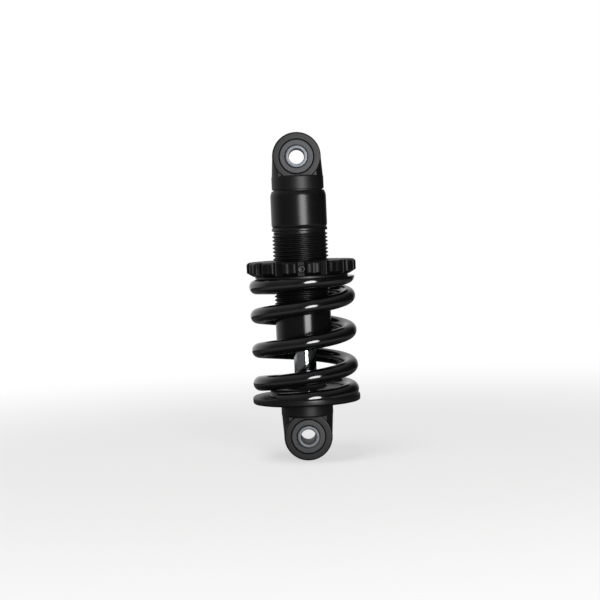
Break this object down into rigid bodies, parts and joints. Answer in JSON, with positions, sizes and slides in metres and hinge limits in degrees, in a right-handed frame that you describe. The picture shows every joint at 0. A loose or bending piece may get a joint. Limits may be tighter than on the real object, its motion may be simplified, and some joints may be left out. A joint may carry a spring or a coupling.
{
  "type": "coil-over damper",
  "caption": "Small black coil-over spring damper with a bolt eye at each end, a threaded body, a notched preload collar and a coil spring.",
  "frame": {"origin": "centre of the upper eye, on the bolt axis and on the damper axis", "axes": "+Z along the damper axis towards the upper eye, +Y along both bolt axes, the picture looks along +Y"},
  "size_m": [0.059, 0.0588, 0.176],
  "materials": {
    "black_anodised": "satin black anodised",
    "black_spring_coat": "gloss black coat",
    "black_sleeve": "smooth gloss black anodised",
    "black_washer": "black oxide steel",
    "zinc_steel": "zinc plated",
    "hard_chrome": "ground and chromed",
    "plain_aluminium": "turned",
    "black_rubber": "moulded",
    "grey_nylon": "moulded",
    "bronze": "sintered"
  },
  "bodies": {
    "damper": {"upper_eye_cap": "black_anodised", "upper_bush": "grey_nylon", "fill_screw": "zinc_steel", "cap_o_ring": "black_rubber", "damper_body": "black_anodised", "guide_sleeve": "black_sleeve", "coil_spring": "black_spring_coat", "top_out_bumper": "black_rubber", "seal_head": "black_anodised", "seal_head_o_ring": "black_rubber", "shaft_bush": "bronze", "shaft_seal": "black_rubber", "shaft_wiper": "black_rubber", "retaining_ring": "zinc_steel"},
    "plunger": {"damper_shaft": "hard_chrome", "piston_nut": "zinc_steel", "compression_shims": "zinc_steel", "piston": "plain_aluminium", "piston_band": "bronze", "rebound_shims": "zinc_steel", "bump_stop": "black_rubber", "jam_nut": "zinc_steel", "lower_spring_seat": "black_anodised", "lower_eye": "black_anodised", "lower_bush": "grey_nylon"},
    "gas_divider": {"floating_piston": "plain_aluminium", "floating_piston_o_ring": "black_rubber"},
    "preload_washer": {"slip_washer": "black_washer"},
    "preload_nut": {"preload_collar": "black_anodised", "collar_lock_screw": "black_washer"},
    "upper_pivot": {"upper_sleeve": "zinc_steel"},
    "lower_pivot": {"lower_sleeve": "zinc_steel"}
  },
  "joints": [
    {"name": "damper_slide", "type": "slide", "parent": "damper", "child": "plunger", "axis": [0, 0, 1], "range_m": [0, 0.02], "stiffness_N_per_m": 106000, "deforming": ["coil_spring"]},
    {"name": "divider_slide", "type": "slide", "parent": "damper", "child": "gas_divider", "axis": [0, 0, 1], "range_m": [0, 0.005]},
    {"name": "preload_travel", "type": "slide", "parent": "damper", "child": "preload_washer", "axis": [0, 0, 1], "range_m": [-0.002, 0.002], "deforming": ["coil_spring"]},
    {"name": "collar_turn", "type": "hinge", "parent": "preload_washer", "child": "preload_nut", "pos_m": [0, 0, -0.0595], "axis": [0, 0, 1], "range_deg": [-360, 360], "deforming": ["coil_spring"]},
    {"name": "upper_pivot_turn", "type": "hinge", "parent": "damper", "child": "upper_pivot", "pos_m": [0, 0, 0], "axis": [0, 1, 0], "continuous": true},
    {"name": "lower_pivot_turn", "type": "hinge", "parent": "plunger", "child": "lower_pivot", "pos_m": [0, 0, -0.15], "axis": [0, 1, 0], "continuous": true}
  ],
  "couplings": [
    {"joint": "divider_slide", "follows": "damper_slide", "ratio": 0.25},
    {"joint": "preload_travel", "follows": "collar_turn", "m_per_rad": 0.0003183}
  ]
}
